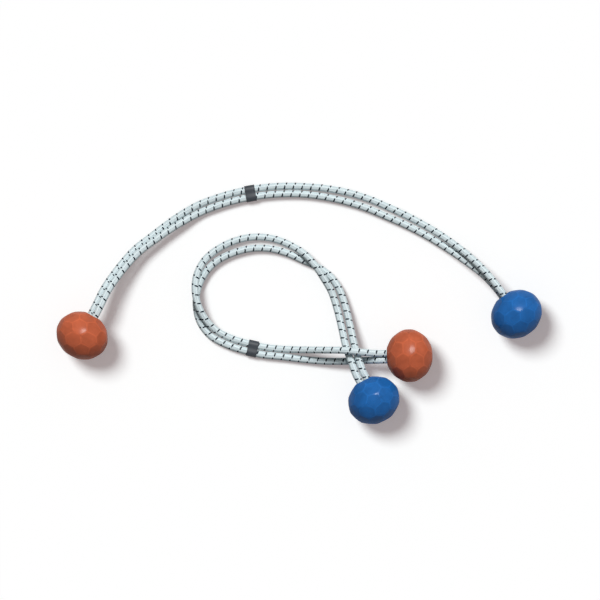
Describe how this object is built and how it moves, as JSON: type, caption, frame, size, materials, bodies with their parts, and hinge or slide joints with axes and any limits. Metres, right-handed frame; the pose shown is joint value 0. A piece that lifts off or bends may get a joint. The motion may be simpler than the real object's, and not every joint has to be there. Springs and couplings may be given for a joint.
{
  "type": "ball-ended bungee tie set",
  "caption": "Elastic ties of doubled white shock cord with a faceted orange ball and a blue ball at the ends and a sliding keeper collar, lying open and closed into a loop.",
  "frame": {"origin": "on the floor, below the middle of the box round the balls and collars", "axes": "+X to the right and +Y up in the picture, +Z up from the floor towards its camera"},
  "size_m": [0.2683, 0.1332, 0.0284],
  "materials": {
    "orange": "moulded orange plastic with a soft sheen",
    "blue": "moulded blue plastic with a soft sheen",
    "braid": "white braided cover with dark tracer ticks",
    "rubber_core": "bare latex rubber",
    "collar": "dark grey, matt",
    "ferrule": "plain crimped sleeve"
  },
  "bodies": {
    "cords": {"open_tie_orange_ferrule": "ferrule", "open_tie_blue_ferrule": "ferrule", "open_tie_strand_1_cover": "braid", "open_tie_strand_1_core": "rubber_core", "open_tie_strand_2_cover": "braid", "open_tie_strand_2_core": "rubber_core", "looped_tie_orange_ferrule": "ferrule", "looped_tie_blue_ferrule": "ferrule", "looped_tie_strand_1_cover": "braid", "looped_tie_strand_1_core": "rubber_core", "looped_tie_strand_2_cover": "braid", "looped_tie_strand_2_core": "rubber_core"},
    "open_tie_orange_ball": {"open_tie_orange_near_shell": "orange", "open_tie_orange_far_shell": "orange"},
    "open_tie_blue_ball": {"open_tie_blue_near_shell": "blue", "open_tie_blue_far_shell": "blue"},
    "open_tie_keeper": {"open_tie_collar": "collar"},
    "looped_tie_orange_ball": {"looped_tie_orange_near_shell": "orange", "looped_tie_orange_far_shell": "orange"},
    "looped_tie_blue_ball": {"looped_tie_blue_near_shell": "blue", "looped_tie_blue_far_shell": "blue"},
    "looped_tie_keeper": {"looped_tie_collar": "collar"}
  },
  "joints": [
    {"name": "open_tie_orange_ball_swivel", "type": "hinge", "parent": "cords", "child": "open_tie_orange_ball", "pos_m": [-0.1197, -0.0177, 0.0142], "axis": [0.4755, 0.8797, 0], "continuous": true},
    {"name": "open_tie_blue_ball_swivel", "type": "hinge", "parent": "cords", "child": "open_tie_blue_ball", "pos_m": [0.12, -0.0059, 0.0142], "axis": [-0.5872, 0.8094, 0], "continuous": true},
    {"name": "open_tie_collar_slide", "type": "hinge", "parent": "cords", "child": "open_tie_keeper", "pos_m": [-0.0053, -0.0614, 0.003], "axis": [0, 0, 1], "range_deg": [-12, 12]},
    {"name": "looped_tie_orange_ball_swivel", "type": "hinge", "parent": "cords", "child": "looped_tie_orange_ball", "pos_m": [0.0609, -0.0288, 0.0142], "axis": [-0.9992, -0.0397, 0], "continuous": true},
    {"name": "looped_tie_blue_ball_swivel", "type": "hinge", "parent": "cords", "child": "looped_tie_blue_ball", "pos_m": [0.0413, -0.0534, 0.0142], "axis": [-0.4693, 0.883, 0], "continuous": true},
    {"name": "looped_tie_collar_slide", "type": "hinge", "parent": "cords", "child": "looped_tie_keeper", "pos_m": [-0.0035, 0.0712, 0.003], "axis": [0, 0, 1], "range_deg": [-6, 8]}
  ]
}
